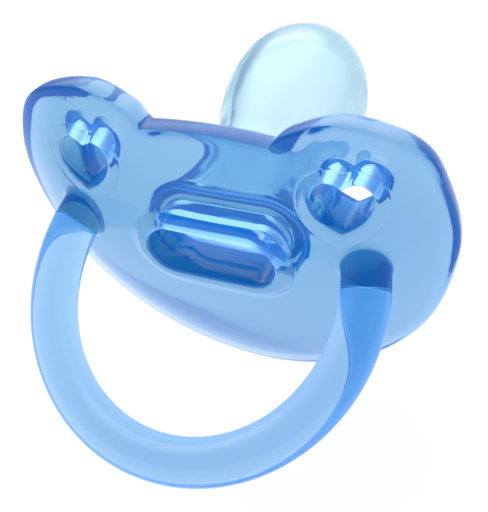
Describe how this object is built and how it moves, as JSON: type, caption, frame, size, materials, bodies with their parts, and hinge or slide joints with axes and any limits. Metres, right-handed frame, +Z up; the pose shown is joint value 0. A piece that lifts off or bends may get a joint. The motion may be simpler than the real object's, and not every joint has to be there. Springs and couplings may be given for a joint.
{
  "type": "pacifier",
  "caption": "Moulded silicone pacifier: bear-head shield with heart vents, flexing ring handle and hollow nipple open at the front of the shield.",
  "frame": {"origin": "on the floor below the middle of the bounding box, with the pacifier standing on the front of its ring and the lower edge of its shield", "axes": "+X to the right as the ring side is seen, +Y back towards the nipple, +Z up"},
  "size_m": [0.0462, 0.045, 0.0364],
  "materials": {
    "blue_silicone": "gloss",
    "pale_silicone": "gloss"
  },
  "bodies": {
    "shield": {"shield": "blue_silicone", "handle_root_left": "blue_silicone", "handle_root_right": "blue_silicone", "nipple_collar": "blue_silicone"},
    "handle": {"ring_handle": "blue_silicone"},
    "nipple": {"nipple": "pale_silicone"}
  },
  "joints": [
    {"name": "handle_flex", "type": "hinge", "parent": "shield", "child": "handle", "pos_m": [0, -0.00957, 0.01663], "axis": [1, 0, 0], "range_deg": [-45, 40], "stiffness_Nm_per_rad": 0.04},
    {"name": "nipple_flex", "type": "hinge", "parent": "shield", "child": "nipple", "pos_m": [0, -0.00115, 0.02111], "axis": [1, 0, 0], "range_deg": [-20, 20], "stiffness_Nm_per_rad": 0.15}
  ]
}
